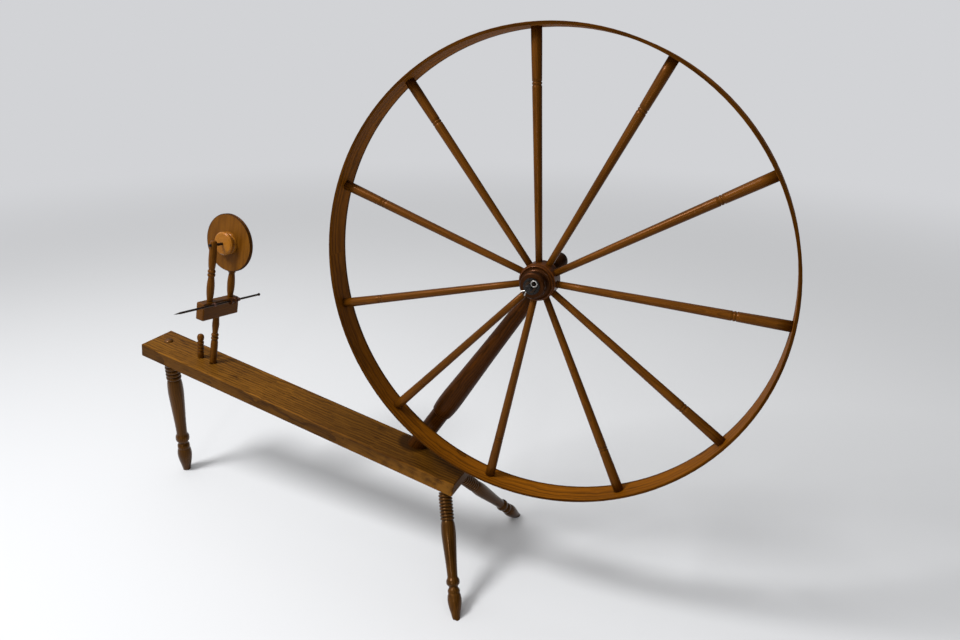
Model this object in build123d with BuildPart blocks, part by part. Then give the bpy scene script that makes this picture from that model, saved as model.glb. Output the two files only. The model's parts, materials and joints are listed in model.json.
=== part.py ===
"""Great wheel: a walking spinning wheel with an accelerating spindle head.

It stands on the floor at Z = 0, with +Z up. +X runs from the spindle's end of the bed to the
wheel's end, and -Y is the spinner's side. The origin is on the floor under the middle of the whole
object, and places in X and Y are given from the drive wheel's centre. Sizes are in millimetres.
"""
from build123d import *
from math import cos, radians, sin, sqrt, tan
import os

os.makedirs("parts", exist_ok=True)

# Fits
seat_gap = 0.05               # between a tenon and its mortise, on the radius
running_gap = 0.06            # between a shaft and the bore it turns in, on the radius
face_gap = 0.4                # between faces that turn past each other

# Drive wheel
wheel_x = 382.536             # its centre from the origin
wheel_y = -27.729
wheel_z = 914.7
wheel_tilt = 4.4              # the front end of its axle points up by this angle
wheel_radius = 570.0
rim_width = 70.0
rim_thickness = 7.0
rim_edge_round = 1.5

# Spokes
spoke_count = 11
first_spoke_angle = 95.7      # from +X towards +Z
spoke_strays = {1: -1.6, 6: 3.0}   # hand-bored mortises that are off the even spacing, in degrees
spoke_hub_diameter = 15.0
spoke_ring_diameter = 18.0
spoke_rim_diameter = 23.0
spoke_tenon_diameter = 13.0
spoke_hub_depth = 14.0
spoke_ring_place = 446.0      # from the hub's centre to the middle of the two turned rings
spoke_ring_spacing = 7.0
spoke_ring_depth = 1.3

# Hub
hub_diameter = 90.0
hub_drum_half = 22.0
hub_lip_diameter = 84.0
hub_cove_diameter = 56.0
hub_nose_diameter = 62.0
hub_front = 60.0              # from the spokes' plane to the front face
hub_back = 55.0               # from the spokes' plane to the back face
hub_nose_start = 42.0         # from the spokes' plane to the end of each nose
hub_edge = 3.0
hub_lip_gap = 2.0             # from the drum to the lip
hub_lip_width = 7.0
hub_lip_round = 2.0
bush_diameter = 26.0

# Axle and what holds the wheel on it
axle_diameter = 16.0
post_distance = 81.0          # from the spokes' plane back to the wheel post's centre line
axle_tail = 30.0              # behind the post's centre line
axle_nose = 17.0              # in front of the nut
collar_diameter = 30.0
washer_diameter = 40.0
washer_thickness = 2.5
nut_width = 25.0
nut_thickness = 9.0
axle_chamfer = 1.5
pin_diameter = 4.0            # the folded wire of the split pin
pin_place = 7.0               # in front of the nut
pin_leg = 15.0
pin_ring_radius = 7.0
pin_ring_wire = 3.0
pin_angle = 45.0              # from +X towards +Z

# Bed
bed_length = 1127.0
bed_width = 124.0
bed_thickness = 43.5
bed_slope = 10.9              # it falls towards the wheel's end
bed_turn = 1.5                # its spindle's end stands back by this angle
bed_end = (-194.9, -15.9, 324.6)   # the middle of its top edge at the wheel's end
bed_edge = 3.0

# Legs
single_leg_diameter = 47.0
pair_leg_diameter = 37.0
single_leg_inset = 50.0       # along the bed's underside from its spindle end
single_leg_offset = 8.0       # behind the bed's middle
front_leg_top = (-29.0, 38.0) # across the bed's underside, and along it from the wheel's end
rear_leg_top = (40.0, 30.0)
single_splay = (-60.0, 33.0)  # from a leg's top to its foot on the floor, in X and Y
front_splay = (106.0, -164.0)
rear_splay = (101.0, 237.0)
single_tenon_diameter = 26.0
pair_tenon_diameter = 22.0
pair_tenon_length = 34.0
leg_ring_count = 8
wedge_thickness = 3.0
wedge_depth = 26.0

# Wheel post
post_foot = (-359.6, 25.4)
post_base_diameter = 52.0
post_belly_diameter = 60.0
post_neck_diameter = 38.0
post_tenon_diameter = 30.0
finial_diameter = 45.0
finial_rise = 38.0            # from the axle to the finial's centre

# Spindle head
head_inset = 237.5            # along the bed's top from its spindle end
head_offset = -2.0            # in front of the bed's middle
head_turn = 5.4               # its spindle's rear end points this far towards the wheel
head_lean_right = 8.1
head_lean_back = 7.7
head_post_diameter = 21.0
head_post_height = 157.5
head_tenon_diameter = 16.0
head_post_tenon_length = 28.0 # into the block
seat_depth = 3.0              # of the flat seat cut into the bed around the head's post
head_pin_diameter = 5.0
head_pin_length = 34.0
block_front = -67.0           # its front end from the head's post
block_length = 141.0
block_width = 31.0
block_height = 54.0
block_chamfer = 2.5
upright_diameter = 22.0
upright_height = 190.0
upright_tenon_diameter = 13.0
upright_tenon_length = 26.0
front_upright_place = -30.5   # from the head's post
rear_upright_place = 51.0     # and behind it

# Accelerating wheel
small_axle_diameter = 8.0
small_axle_drop = 14.0        # below the uprights' tops
small_axle_overhang = 5.0
small_axle_chamfer = 0.8
disc_radius = 88.0
disc_thickness = 12.0
disc_gap = 1.0                # from the rear upright
disc_groove_depth = 3.0
disc_edge = 1.0
pulley_length = 24.0
pulley_radius = 35.0
pulley_groove_depth = 6.0
pulley_front_length = 10.0    # of the plain boss in front of the groove
pulley_back_length = 4.0
pulley_round = 4.0

# Spindle
spindle_diameter = 6.5
spindle_front_length = 187.0  # in front of the head's post
spindle_back_length = 153.0
spindle_point_length = 26.0
spindle_side = 26.5           # from the head's middle towards the wheel
spindle_drop = 3.0            # below the block's top
spindle_knob_diameter = 9.5
whorl_radius = 10.0
whorl_length = 22.0
whorl_place = 36.0
bearing_thickness = 8.0
bearing_radius = 8.5
bearing_tail_depth = 7.0      # into the block's side
bearing_tail_height = 6.0
bearing_tail_drop = 5.0       # from the spindle's centre to the tail's
front_bearing_place = -36.0
rear_bearing_place = 60.0

# Peg in the bed beside the head
peg_distance = 50.0           # from the head's foot towards the spindle's end
peg_diameter = 19.5
peg_height = 84.0
peg_tenon_diameter = 13.0
peg_tenon_length = 30.0


def place(x, y, z):
    """A point given from the floor below the drive wheel's centre."""
    return Vector(wheel_x + x, wheel_y + y, z)


def turning_plane(origin, along):
    """The plane of a turned piece's outline: local X is the radius and local Y runs along."""
    reference = Vector(0, 1, 0) if abs(along.Y) < 0.7 else Vector(0, 0, 1)
    across = reference.cross(along).normalized()
    return Plane(origin=origin, x_dir=across, z_dir=across.cross(along))


def bead(low, high, root, crown):
    """Draw a half-round ring on a turned outline, from low to high."""
    ThreePointArc((root, low), (crown, (low + high) / 2), (root, high))


def crossing(point, direction, plane):
    """Where the line through point meets a plane."""
    travel = (plane.origin - point).dot(plane.z_dir) / direction.dot(plane.z_dir)
    return point + direction * travel


# ---------------------------------------------------------------- where the pieces stand
wheel_centre = place(0, 0, wheel_z)
axle_forward = Vector(0, -cos(radians(wheel_tilt)), sin(radians(wheel_tilt)))
wheel_plane = Plane(origin=wheel_centre, x_dir=(1, 0, 0), z_dir=axle_forward)
wheel_axis = Axis(wheel_centre, axle_forward)

bed_across = Vector(sin(radians(bed_turn)), cos(radians(bed_turn)), 0)
bed_level = Vector(-cos(radians(bed_turn)), sin(radians(bed_turn)), 0)
bed_uphill = bed_level * cos(radians(bed_slope)) + Vector(0, 0, sin(radians(bed_slope)))
bed_normal = bed_across.cross(bed_uphill)
bed_top = Plane(origin=place(*bed_end), x_dir=bed_across, z_dir=bed_normal)
bed_under = bed_top.offset(-bed_thickness)


def on_bed(x, y):
    """The point of the bed's top face above a place in X and Y."""
    return crossing(place(x, y, 0), Vector(0, 0, 1), bed_top)


post_base = on_bed(*post_foot)
post_axle = wheel_centre - axle_forward * post_distance
post_along = (post_axle - post_base).normalized()

# On the bed's planes, local X is across it and local Y runs up its slope
head_base = bed_top.from_local_coords(Vector(head_offset, bed_length - head_inset, 0))
head_up = Vector(tan(radians(head_lean_right)), tan(radians(head_lean_back)), 1).normalized()
head_level = Vector(sin(radians(head_turn)), cos(radians(head_turn)), 0)
head_back = (head_level - head_up * head_up.dot(head_level)).normalized()
head_plane = Plane(origin=head_base, x_dir=head_back.cross(head_up), z_dir=head_up)
block_top = head_post_height + block_height


def on_head(right, back, up):
    """A point given along the spindle head's own directions from its foot."""
    return head_plane.from_local_coords(Vector(right, back, up))


single_top = bed_under.from_local_coords(Vector(single_leg_offset, bed_length - single_leg_inset, 0))
front_top = bed_under.from_local_coords(Vector(*front_leg_top, 0))
rear_top = bed_under.from_local_coords(Vector(*rear_leg_top, 0))
peg_base = head_base + bed_uphill * peg_distance


# ---------------------------------------------------------------- legs
def draw_leg(length, big):
    """Draw a leg's outline: rings, vase, ankle bead and foot, from the bed to past the floor."""
    root = big * 0.43
    waist = big * 0.32
    tip = big * 0.2
    rings_start = length * 0.11
    rings_end = length * 0.29
    ankle = length * 0.69
    ankle_end = length * 0.77
    neck_end = length * 0.79
    past_floor = length * 1.04
    pitch = (rings_end - rings_start) / leg_ring_count
    Polyline((0, -big), (root, -big), (root, rings_start))
    for ring in range(leg_ring_count):
        start = rings_start + ring * pitch
        bead(start, start + pitch, root, root + big * 0.05)
    Spline((root, rings_end), (big * 0.5, length * 0.36), (big * 0.4, length * 0.55), (waist, ankle),
           tangents=((0.4, 1), (0, 1)))
    bead(ankle, ankle_end, waist, big * 0.4)
    Line((waist, ankle_end), (waist * 0.92, neck_end))
    Spline((waist * 0.92, neck_end), (big * 0.46, length * 0.87), (tip, past_floor),
           tangents=((0.8, 1), (-0.2, 1)))
    Polyline((tip, past_floor), (0, past_floor), (0, -big))


def leg_body(top, foot, big):
    """The turned part of a leg, cut to the bed's underside and to the floor."""
    with BuildPart() as body:
        with BuildSketch(turning_plane(top, (foot - top).normalized())):
            with BuildLine():
                draw_leg((foot - top).length, big)
            make_face()
        revolve(axis=Axis(top, foot - top))
        split(bisect_by=bed_under, keep=Keep.BOTTOM)
        split(bisect_by=Plane.XY, keep=Keep.TOP)
    return body.part


def foot_below(top, splay):
    """The point on the floor under a leg's top, moved by the leg's splay."""
    return Vector(top.X + splay[0], top.Y + splay[1], 0)


single_foot_point = foot_below(single_top, single_splay)
single_up = (single_top - single_foot_point).normalized()
single_mouth = crossing(single_top, single_up, bed_top)
wedge_plane = Plane(origin=single_mouth, x_dir=bed_top.x_dir, z_dir=bed_normal)

with BuildPart() as spindle_end_leg:
    add(leg_body(single_top, single_foot_point, single_leg_diameter))
    with BuildSketch(Plane(origin=single_top - single_up * single_leg_diameter, z_dir=single_up)):
        Circle(single_tenon_diameter / 2)
    extrude(amount=single_leg_diameter + 2 * bed_thickness)
    split(bisect_by=bed_top, keep=Keep.BOTTOM)
    with BuildSketch(wedge_plane):
        Rectangle(single_tenon_diameter * 1.5, wedge_thickness + 2 * seat_gap)
    extrude(amount=-wedge_depth - seat_gap, mode=Mode.SUBTRACT)
spindle_end_leg.part.label = "spindle_end_leg"
export_step(spindle_end_leg.part, "parts/spindle_end_leg.step")

with BuildPart() as leg_wedge:
    with BuildSketch(Plane(origin=single_top, z_dir=single_up)):
        Circle(single_tenon_diameter / 2)
    extrude(amount=2 * bed_thickness)
    split(bisect_by=bed_top, keep=Keep.BOTTOM)
    with BuildSketch(wedge_plane):
        Rectangle(single_tenon_diameter * 1.5, wedge_thickness)
    extrude(amount=-wedge_depth, mode=Mode.INTERSECT)
leg_wedge.part.label = "leg_wedge"
export_step(leg_wedge.part, "parts/leg_wedge.step")

pair_legs = {"front_leg": (front_top, foot_below(front_top, front_splay)),
             "rear_leg": (rear_top, foot_below(rear_top, rear_splay))}
for name, (top, foot) in pair_legs.items():
    with BuildPart() as pair_leg:
        add(leg_body(top, foot, pair_leg_diameter))
        up = (top - foot).normalized()
        with BuildSketch(Plane(origin=top - up * pair_leg_diameter, z_dir=up)):
            Circle(pair_tenon_diameter / 2)
        extrude(amount=pair_leg_diameter + pair_tenon_length)
    pair_leg.part.label = name
    export_step(pair_leg.part, f"parts/{name}.step")


# ---------------------------------------------------------------- bed
def bore(start, along, diameter, depth):
    """Cut a round hole into the part that is being built."""
    with BuildSketch(Plane(origin=start, z_dir=along)) as mouth:
        Circle(diameter / 2)
    extrude(mouth.sketch, amount=depth, dir=along, mode=Mode.SUBTRACT)


head_seat = head_plane.offset(-seat_depth)

with BuildPart() as bed:
    with BuildSketch(bed_top):
        with Locations((0, bed_length / 2)):
            Rectangle(bed_width, bed_length)
    extrude(amount=-bed_thickness)
    chamfer(bed.edges(), length=bed_edge)
    bore(single_mouth + single_up * bed_thickness, -single_up, single_tenon_diameter + 2 * seat_gap,
         3 * bed_thickness)
    for top, foot in pair_legs.values():
        up = (top - foot).normalized()
        bore(top - up * bed_thickness, up, pair_tenon_diameter + 2 * seat_gap,
             bed_thickness + pair_tenon_length + seat_gap)
    bore(post_base + post_along * bed_thickness, -post_along, post_tenon_diameter + 2 * seat_gap,
         3 * bed_thickness)
    bore(head_base + head_up * bed_thickness, -head_up, head_tenon_diameter + 2 * running_gap,
         3 * bed_thickness)
    bore(head_seat.origin, head_up, head_post_diameter + 4 * face_gap, bed_thickness)
    bore(peg_base, -bed_normal, peg_tenon_diameter + 2 * seat_gap, peg_tenon_length + seat_gap)
bed.part.label = "bed"
export_step(bed.part, "parts/bed.step")

# ---------------------------------------------------------------- wheel post
post_length = (post_axle - post_base).length


def draw_post():
    """Draw the wheel post's outline: base, notch, belly, long taper, neck and ball finial."""
    base = post_base_diameter / 2
    belly = post_belly_diameter / 2
    neck = post_neck_diameter / 2
    ball = finial_diameter / 2
    throat = neck * 0.72
    notch = post_length * 0.205
    notch_end = notch + base * 0.15
    neck_start = post_length * 0.93
    neck_end = post_length + axle_diameter * 0.75
    finial = post_length + finial_rise
    ball_start = finial - sqrt(ball ** 2 - throat ** 2)
    Polyline((0, -base), (base, -base), (base * 0.96, notch), (belly * 0.95, notch_end))
    Spline((belly * 0.95, notch_end), (belly, post_length * 0.34), (belly * 0.83, post_length * 0.55),
           (neck, neck_start), tangents=((0.15, 1), (-0.02, 1)))
    Polyline((neck, neck_start), (neck, neck_end), (throat, ball_start))
    ThreePointArc((throat, ball_start), (ball, finial), (0, finial + ball))
    Line((0, finial + ball), (0, -base))


with BuildPart() as post_turning:
    with BuildSketch(turning_plane(post_base, post_along)):
        with BuildLine():
            draw_post()
        make_face()
    revolve(axis=Axis(post_base, post_along))
    split(bisect_by=bed_top, keep=Keep.TOP)

post_flat = post_neck_diameter / 2 - 2.5    # from the post's centre line to the collar's flat seat
collar_seat = wheel_plane.offset(post_flat - post_distance)

with BuildPart() as wheel_post:
    add(post_turning.part)
    with BuildSketch(Plane(origin=post_base + post_along * post_base_diameter, z_dir=-post_along)):
        Circle(post_tenon_diameter / 2)
    extrude(amount=post_base_diameter + 2 * bed_thickness)
    split(bisect_by=bed_under, keep=Keep.TOP)
    bore(post_axle - axle_forward * post_neck_diameter, axle_forward, axle_diameter + 2 * seat_gap,
         2 * post_neck_diameter)
    bore(collar_seat.origin, axle_forward, collar_diameter + 2 * seat_gap, post_neck_diameter)
wheel_post.part.label = "wheel_post"
export_step(wheel_post.part, "parts/wheel_post.step")

# ---------------------------------------------------------------- axle and its fixings
washer_face = hub_front + face_gap
nut_face = washer_face + washer_thickness
nut_front = nut_face + nut_thickness
pin_direction = wheel_plane.x_dir * cos(radians(pin_angle)) + wheel_plane.y_dir * sin(radians(pin_angle))
pin_centre = wheel_centre + axle_forward * (nut_front + pin_place)

with BuildPart() as wheel_axle:
    with BuildSketch(wheel_plane.offset(-post_distance - axle_tail)):
        Circle(axle_diameter / 2)
    extrude(amount=post_distance + axle_tail + nut_front + axle_nose)
    chamfer(wheel_axle.edges().filter_by(GeomType.CIRCLE), length=axle_chamfer)
    bore(pin_centre - pin_direction * axle_diameter, pin_direction, pin_diameter + 2 * seat_gap,
         2 * axle_diameter)
wheel_axle.part.label = "wheel_axle"
export_step(wheel_axle.part, "parts/wheel_axle.step")

with BuildPart() as axle_collar:
    with BuildSketch(collar_seat):
        Circle(collar_diameter / 2)
        Circle(axle_diameter / 2 + seat_gap, mode=Mode.SUBTRACT)
    extrude(amount=post_distance - post_flat - hub_back - face_gap)
axle_collar.part.label = "axle_collar"
export_step(axle_collar.part, "parts/axle_collar.step")

with BuildPart() as axle_washer:
    with BuildSketch(wheel_plane.offset(washer_face)):
        Circle(washer_diameter / 2)
        Circle(axle_diameter / 2 + seat_gap, mode=Mode.SUBTRACT)
    extrude(amount=washer_thickness)
axle_washer.part.label = "axle_washer"
export_step(axle_washer.part, "parts/axle_washer.step")

with BuildPart() as axle_nut:
    with BuildSketch(wheel_plane.offset(nut_face)):
        RegularPolygon(nut_width / 2, 6, major_radius=False)
        Circle(axle_diameter / 2 + seat_gap, mode=Mode.SUBTRACT)
    extrude(amount=nut_thickness)
axle_nut.part.label = "axle_nut"
export_step(axle_nut.part, "parts/axle_nut.step")

# The split pin: a ring of folded wire, with its two legs through the axle and spread past it
pin_reach = axle_diameter / 2 + 1.0
pin_ring_centre = pin_centre + pin_direction * (pin_reach + pin_ring_radius)
pin_side = axle_forward.cross(pin_direction)

with BuildPart() as split_pin:
    with BuildSketch(Plane(origin=pin_centre + pin_direction * (pin_reach + pin_ring_wire / 2),
                           z_dir=-pin_direction)):
        Circle(pin_diameter / 2)
    extrude(amount=2 * pin_reach + pin_ring_wire / 2)
    for side in (-1, 1):
        with BuildSketch(Plane(origin=pin_centre - pin_direction * (pin_reach - 1),
                               z_dir=pin_side * side * 0.5 - pin_direction)):
            Circle(pin_ring_wire / 2)
        extrude(amount=pin_leg)
    with BuildSketch(Plane(origin=pin_ring_centre, x_dir=pin_direction, z_dir=pin_side)):
        with Locations((pin_ring_radius, 0)):
            Circle(pin_ring_wire / 2)
    revolve(axis=Axis(pin_ring_centre, axle_forward))
split_pin.part.label = "split_pin"
export_step(split_pin.part, "parts/split_pin.step")

# ---------------------------------------------------------------- drive wheel
hub_surface = hub_diameter / 2
rim_inside = wheel_radius - rim_thickness
spoke_shoulder = sqrt(rim_inside ** 2 - (spoke_rim_diameter / 2) ** 2)
spoke_angles = [first_spoke_angle - 360 / spoke_count * index + spoke_strays.get(index + 1, 0)
                for index in range(spoke_count)]


def spoke_direction(angle):
    """The direction of a spoke, from its angle in the wheel's plane."""
    return wheel_plane.x_dir * cos(radians(angle)) + wheel_plane.y_dir * sin(radians(angle))


def draw_spoke():
    """Draw a spoke's outline: plain taper, two cut rings, flared end and tenon."""
    inner = hub_surface - spoke_hub_depth
    hub_end = spoke_hub_diameter / 2
    body = spoke_ring_diameter / 2
    rim_end = spoke_rim_diameter / 2
    tenon = spoke_tenon_diameter / 2
    tenon_end = sqrt(wheel_radius ** 2 - tenon ** 2)
    depth = spoke_ring_depth
    first = spoke_ring_place - spoke_ring_spacing / 2
    second = spoke_ring_place + spoke_ring_spacing / 2
    Polyline((0, inner), (hub_end, inner), (hub_end, hub_surface), (body, first - depth), (body - depth, first),
             (body, first + depth), (body, second - depth), (body - depth, second), (body, second + depth),
             (rim_end, spoke_shoulder - spoke_rim_diameter), (rim_end, spoke_shoulder), (tenon, spoke_shoulder),
             (tenon, tenon_end), (0, tenon_end), close=True)


for index, angle in enumerate(spoke_angles, start=1):
    with BuildPart() as spoke:
        with BuildSketch(turning_plane(wheel_centre, spoke_direction(angle))):
            with BuildLine():
                draw_spoke()
            make_face()
        revolve(axis=Axis(wheel_centre, spoke_direction(angle)))
    spoke.part.label = f"spoke_{index:02d}"
    export_step(spoke.part, f"parts/spoke_{index:02d}.step")

with BuildPart() as rim:
    with BuildSketch(turning_plane(wheel_centre, axle_forward)):
        with Locations((wheel_radius - rim_thickness / 2, 0)):
            RectangleRounded(rim_thickness, rim_width, rim_edge_round)
    revolve(axis=wheel_axis)
    for angle in spoke_angles:
        bore(wheel_centre + spoke_direction(angle) * (rim_inside - rim_thickness), spoke_direction(angle),
             spoke_tenon_diameter + 2 * seat_gap, 3 * rim_thickness)
rim.part.label = "rim"
export_step(rim.part, "parts/rim.step")

bush_bore = bush_diameter / 2 + seat_gap


def draw_hub():
    """Draw the hub's outline: nose, cove, lip and drum, and the same again behind the spokes."""
    lip = hub_lip_diameter / 2
    cove = hub_cove_diameter / 2
    nose = hub_nose_diameter / 2
    root = lip - hub_lip_round
    lip_start = hub_drum_half + hub_lip_gap
    lip_end = lip_start + hub_lip_width
    for end, length in ((1, hub_front), (-1, hub_back)):
        face = end * length
        shoulder = end * hub_nose_start
        Polyline((bush_bore, face), (nose - hub_edge, face), (nose, face - end * hub_edge), (nose, shoulder))
        ThreePointArc((nose, shoulder), (cove, (shoulder + end * lip_end) / 2), (root, end * lip_end))
        ThreePointArc((root, end * lip_end), (lip, end * (lip_start + lip_end) / 2), (root, end * lip_start))
        Line((root, end * lip_start), (hub_surface, end * hub_drum_half))
    Line((hub_surface, hub_drum_half), (hub_surface, -hub_drum_half))
    Line((bush_bore, hub_front), (bush_bore, -hub_back))


with BuildPart() as hub:
    with BuildSketch(turning_plane(wheel_centre, axle_forward)):
        with BuildLine():
            draw_hub()
        make_face()
    revolve(axis=wheel_axis)
    for angle in spoke_angles:
        bore(wheel_centre + spoke_direction(angle) * (hub_surface - spoke_hub_depth - seat_gap),
             spoke_direction(angle), spoke_hub_diameter + 2 * seat_gap, 2 * spoke_hub_depth)
hub.part.label = "hub"
export_step(hub.part, "parts/hub.step")

with BuildPart() as hub_bush:
    with BuildSketch(wheel_plane.offset(-hub_back)):
        Circle(bush_diameter / 2)
        Circle(axle_diameter / 2 + running_gap, mode=Mode.SUBTRACT)
    extrude(amount=hub_back + hub_front)
hub_bush.part.label = "hub_bush"
export_step(hub_bush.part, "parts/hub_bush.step")

# ---------------------------------------------------------------- spindle head
def draw_head_post():
    """Draw the head post's outline: shoulder, taper, three rings, taper to the block and tenon."""
    foot = head_post_diameter / 2
    slim = foot * 0.88
    neck = foot * 0.9
    rings = head_post_height * 0.42
    ring = head_post_height * 0.055
    tenon = head_tenon_diameter / 2
    Polyline((0, face_gap - seat_depth), (foot, face_gap - seat_depth), (slim, rings))
    for step in range(3):
        bead(rings + step * ring, rings + (step + 1) * ring, slim, foot * 1.02)
    Spline((slim, rings + 3 * ring), (foot * 0.97, head_post_height * 0.78), (neck, head_post_height),
           tangents=((0.1, 1), (-0.1, 1)))
    top = head_post_height + head_post_tenon_length
    Polyline((neck, head_post_height), (tenon, head_post_height), (tenon, top), (0, top),
             (0, face_gap - seat_depth))


head_right = head_plane.x_dir
head_tilt = radians(head_up.get_angle(bed_normal))
bed_below_head = bed_thickness / cos(head_tilt) + head_pin_length / 2 * tan(head_tilt)
head_pin_drop = bed_below_head + face_gap + head_pin_diameter / 2
head_tail = head_pin_drop + head_pin_diameter

with BuildPart() as head_post:
    with BuildSketch(turning_plane(head_base, head_up)):
        with BuildLine():
            draw_head_post()
        make_face()
    revolve(axis=Axis(head_base, head_up))
    with BuildSketch(head_plane.offset(-head_tail)):
        Circle(head_tenon_diameter / 2)
    extrude(amount=head_tail)
    bore(on_head(-head_pin_length, 0, -head_pin_drop), head_right, head_pin_diameter + 2 * seat_gap,
         2 * head_pin_length)
head_post.part.label = "head_post"
export_step(head_post.part, "parts/head_post.step")

with BuildPart() as head_pin:
    with BuildSketch(Plane(origin=on_head(-head_pin_length / 2, 0, -head_pin_drop), z_dir=head_right)):
        Circle(head_pin_diameter / 2)
    extrude(amount=head_pin_length)
head_pin.part.label = "head_pin"
export_step(head_pin.part, "parts/head_pin.step")

spindle_height = block_top - spindle_drop
bearing_places = {"front_bearing": front_bearing_place, "rear_bearing": rear_bearing_place}
upright_places = {"front_upright": front_upright_place, "rear_upright": rear_upright_place}


def draw_bearing_tail(gap):
    """Draw a bearing's tail, from the spindle's centre into the block's side."""
    tail = block_width / 2 - bearing_tail_depth - gap
    with Locations(((spindle_side + tail) / 2, spindle_height - bearing_tail_drop)):
        Rectangle(spindle_side - tail, bearing_tail_height + 2 * gap)


def head_section(back):
    """The plane across the head at a distance behind its post, seen from the front."""
    return Plane(origin=on_head(0, back, 0), x_dir=head_right, z_dir=-head_back)


with BuildPart() as head_block:
    with BuildSketch(head_plane.offset(head_post_height)):
        with Locations((0, block_front + block_length / 2)):
            Rectangle(block_width, block_length)
    extrude(amount=block_height)
    chamfer(head_block.edges(), length=block_chamfer)
    bore(on_head(0, 0, head_post_height - 1), head_up, head_tenon_diameter + 2 * seat_gap,
         head_post_tenon_length + 1 + seat_gap)
    for back in upright_places.values():
        bore(on_head(0, back, block_top + 1), -head_up, upright_tenon_diameter + 2 * seat_gap,
             upright_tenon_length + 1 + seat_gap)
    for back in bearing_places.values():
        with BuildSketch(head_section(back)):
            draw_bearing_tail(seat_gap)
        extrude(amount=bearing_thickness / 2 + seat_gap, both=True, mode=Mode.SUBTRACT)
head_block.part.label = "head_block"
export_step(head_block.part, "parts/head_block.step")

for name, back in bearing_places.items():
    with BuildPart() as bearing:
        with BuildSketch(head_section(back)):
            draw_bearing_tail(0)
            with Locations((spindle_side, spindle_height)):
                Circle(bearing_radius)
                Circle(spindle_diameter / 2 + running_gap, mode=Mode.SUBTRACT)
        extrude(amount=bearing_thickness / 2, both=True)
    bearing.part.label = name
    export_step(bearing.part, f"parts/{name}.step")


def draw_upright():
    """Draw an upright's outline: swelling lower half, two rings, upper half and domed top."""
    big = upright_diameter / 2
    rings = upright_height * 0.45
    ring = upright_height * 0.045
    tenon = upright_tenon_diameter / 2
    Polyline((0, -upright_tenon_length), (tenon, -upright_tenon_length), (tenon, 0), (big * 0.76, 0))
    Spline((big * 0.76, 0), (big * 0.93, rings * 0.72), (big * 0.84, rings), tangents=((0.15, 1), (-0.3, 1)))
    for step in range(2):
        bead(rings + step * ring, rings + (step + 1) * ring, big * 0.84, big * 1.04)
    shoulder = rings + 2 * ring
    Spline((big * 0.84, shoulder), (big, upright_height * 0.7), (big * 0.86, upright_height - big * 0.5),
           tangents=((0.3, 1), (-0.1, 1)))
    Spline((big * 0.86, upright_height - big * 0.5), (0, upright_height), tangents=((-0.1, 1), (-1, 0)))
    Line((0, upright_height), (0, -upright_tenon_length))


for name, back in upright_places.items():
    upright_base = on_head(0, back, block_top)
    with BuildPart() as upright:
        with BuildSketch(turning_plane(upright_base, head_up)):
            with BuildLine():
                draw_upright()
            make_face()
        revolve(axis=Axis(upright_base, head_up))
        bore(upright_base + head_up * (upright_height - small_axle_drop) - head_back * upright_diameter, head_back,
             small_axle_diameter + 2 * running_gap, 2 * upright_diameter)
    upright.part.label = name
    export_step(upright.part, f"parts/{name}.step")

# ---------------------------------------------------------------- accelerating wheel
small_axle_centre = on_head(0, 0, block_top + upright_height - small_axle_drop)
small_axle_line = Axis(small_axle_centre, head_back)
disc_back = rear_upright_place - upright_diameter / 2 - disc_gap
disc_front = disc_back - disc_thickness
pulley_front = disc_front - pulley_length
small_bore = small_axle_diameter / 2 + seat_gap

with BuildPart() as accelerator_disc:
    with BuildSketch(turning_plane(small_axle_centre, head_back)):
        with BuildLine():
            lip = disc_thickness * 0.18
            Polyline((disc_radius, disc_back - lip), (disc_radius - disc_edge, disc_back), (small_bore, disc_back),
                     (small_bore, disc_front), (disc_radius - disc_edge, disc_front), (disc_radius, disc_front + lip))
            ThreePointArc((disc_radius, disc_front + lip), (disc_radius - disc_groove_depth,
                          (disc_front + disc_back) / 2), (disc_radius, disc_back - lip))
        make_face()
    revolve(axis=small_axle_line)
accelerator_disc.part.label = "accelerator_disc"
export_step(accelerator_disc.part, "parts/accelerator_disc.step")

with BuildPart() as accelerator_pulley:
    with BuildSketch(turning_plane(small_axle_centre, head_back)):
        with BuildLine():
            groove_start = pulley_front + pulley_front_length
            groove_end = disc_front - pulley_back_length
            Polyline((pulley_radius, groove_end), (pulley_radius, disc_front), (small_bore, disc_front),
                     (small_bore, pulley_front), (pulley_radius - pulley_round, pulley_front),
                     (pulley_radius, pulley_front + pulley_round), (pulley_radius, groove_start))
            ThreePointArc((pulley_radius, groove_start), (pulley_radius - pulley_groove_depth,
                          (groove_start + groove_end) / 2), (pulley_radius, groove_end))
        make_face()
    revolve(axis=small_axle_line)
accelerator_pulley.part.label = "accelerator_pulley"
export_step(accelerator_pulley.part, "parts/accelerator_pulley.step")

small_axle_front = front_upright_place - upright_diameter / 2 - small_axle_overhang
small_axle_back = rear_upright_place + upright_diameter / 2 + small_axle_overhang

with BuildPart() as accelerator_axle:
    with BuildSketch(Plane(origin=small_axle_centre + head_back * small_axle_front, z_dir=head_back)):
        Circle(small_axle_diameter / 2)
    extrude(amount=small_axle_back - small_axle_front)
    chamfer(accelerator_axle.edges().filter_by(GeomType.CIRCLE), length=small_axle_chamfer)
accelerator_axle.part.label = "accelerator_axle"
export_step(accelerator_axle.part, "parts/accelerator_axle.step")

# ---------------------------------------------------------------- spindle
spindle_centre = on_head(spindle_side, 0, spindle_height)
spindle_line = Axis(spindle_centre, head_back)


def draw_spindle():
    """Draw the spindle's outline: point, straight shaft and a knob at its rear end."""
    shaft = spindle_diameter / 2
    knob = spindle_knob_diameter / 2
    knob_start = spindle_back_length - knob - sqrt(knob ** 2 - shaft ** 2)
    Polyline((0, -spindle_front_length), (shaft, spindle_point_length - spindle_front_length),
             (shaft, knob_start))
    ThreePointArc((shaft, knob_start), (knob, spindle_back_length - knob), (0, spindle_back_length))
    Line((0, spindle_back_length), (0, -spindle_front_length))


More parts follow.
